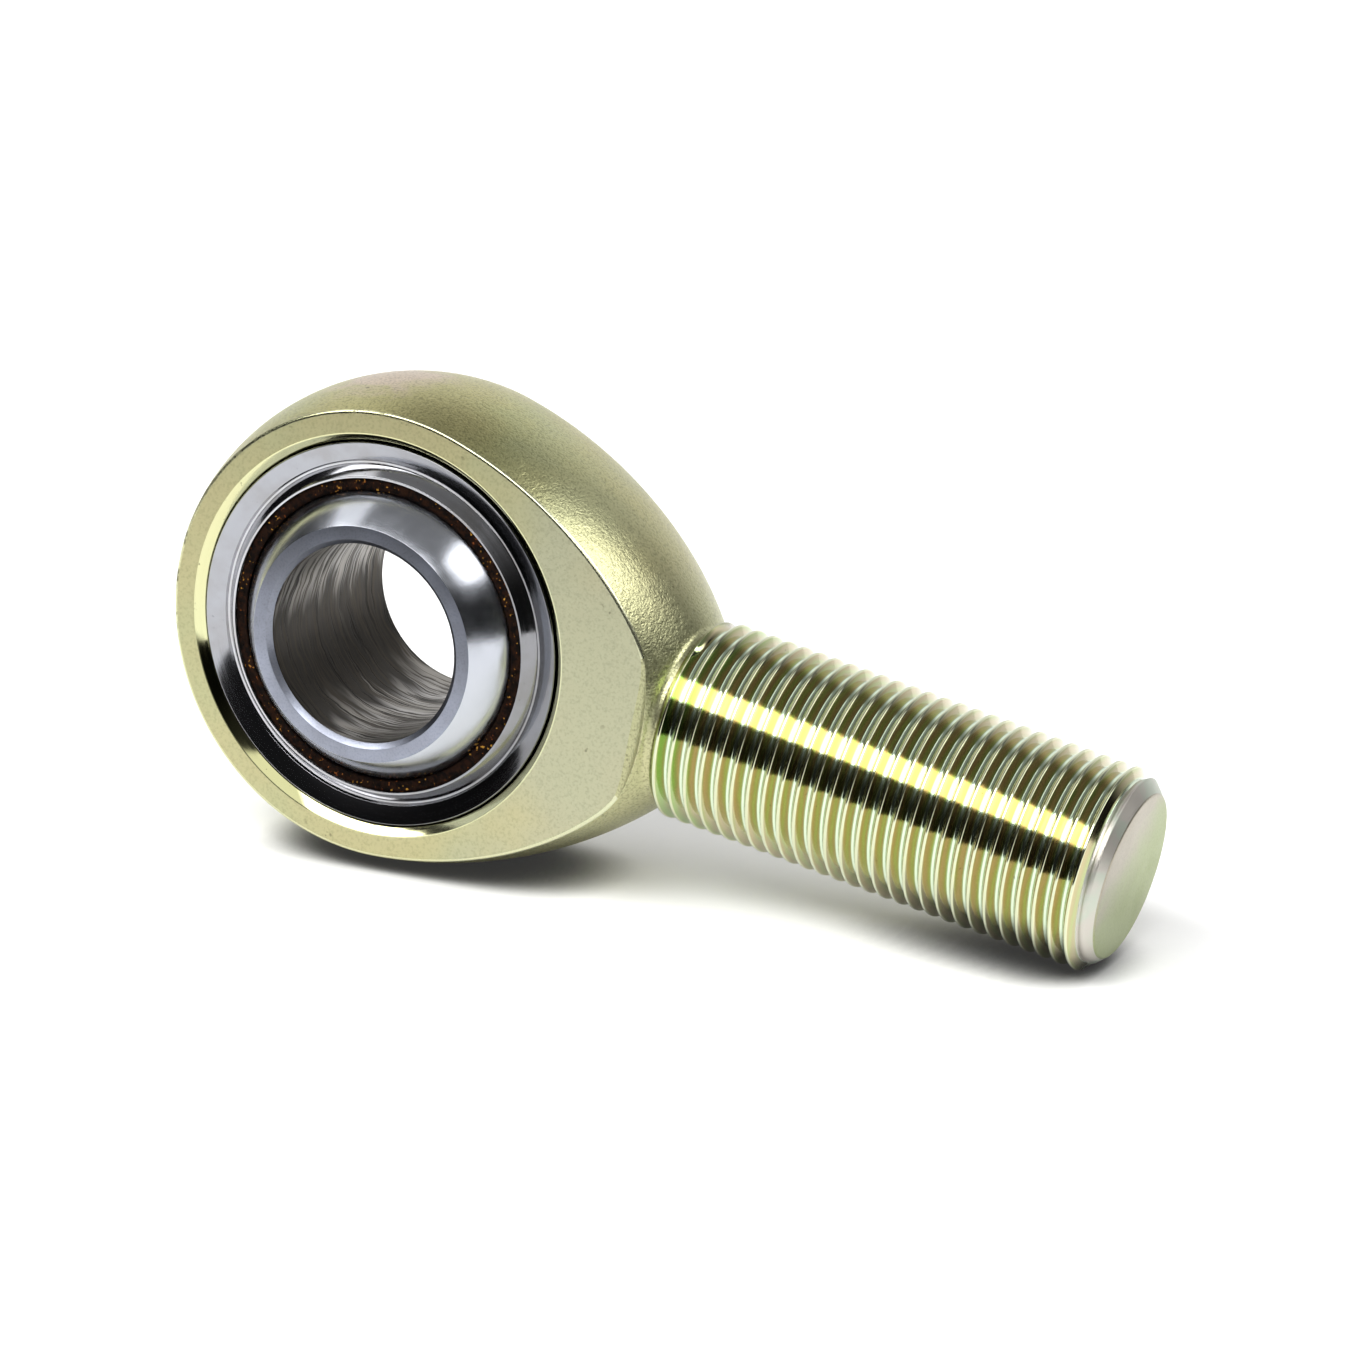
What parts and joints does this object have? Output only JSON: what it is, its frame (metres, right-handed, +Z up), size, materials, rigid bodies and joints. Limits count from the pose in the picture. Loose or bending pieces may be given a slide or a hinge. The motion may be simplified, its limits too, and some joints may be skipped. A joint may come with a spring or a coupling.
{
  "type": "rod end bearing",
  "caption": "Male rod end bearing: threaded shank, flat-sided round head with a staked race, dark low-friction liner and a swivelling ball with a plain through bore.",
  "frame": {"origin": "centre of the ball, where the bore's axis crosses the shank's axis", "axes": "+X along the shank towards its free end, +Y along the bore, +Z up"},
  "size_m": [0.0967, 0.0222, 0.046],
  "materials": {
    "zinc_chromate": "yellow-green chromate over plated steel, satin on the head, bright on the thread",
    "race_steel": "fine turned",
    "liner_fabric": "matte woven, dark brown with orange-brown fibre ends",
    "ball_chrome": "polished sphere, satin faces"
  },
  "bodies": {
    "housing": {"rod_end_body": "zinc_chromate", "outer_race": "race_steel"},
    "liner": {"ptfe_liner": "liner_fabric"},
    "ball": {"ball": "ball_chrome"}
  },
  "joints": [
    {"name": "ball_swivel", "type": "hinge", "parent": "housing", "child": "liner", "pos_m": [0, 0, 0], "axis": [0, 1, 0], "continuous": true},
    {"name": "ball_tilt", "type": "hinge", "parent": "liner", "child": "ball", "pos_m": [0, 0, 0], "axis": [1, 0, 0], "range_deg": [-14, 14]}
  ]
}
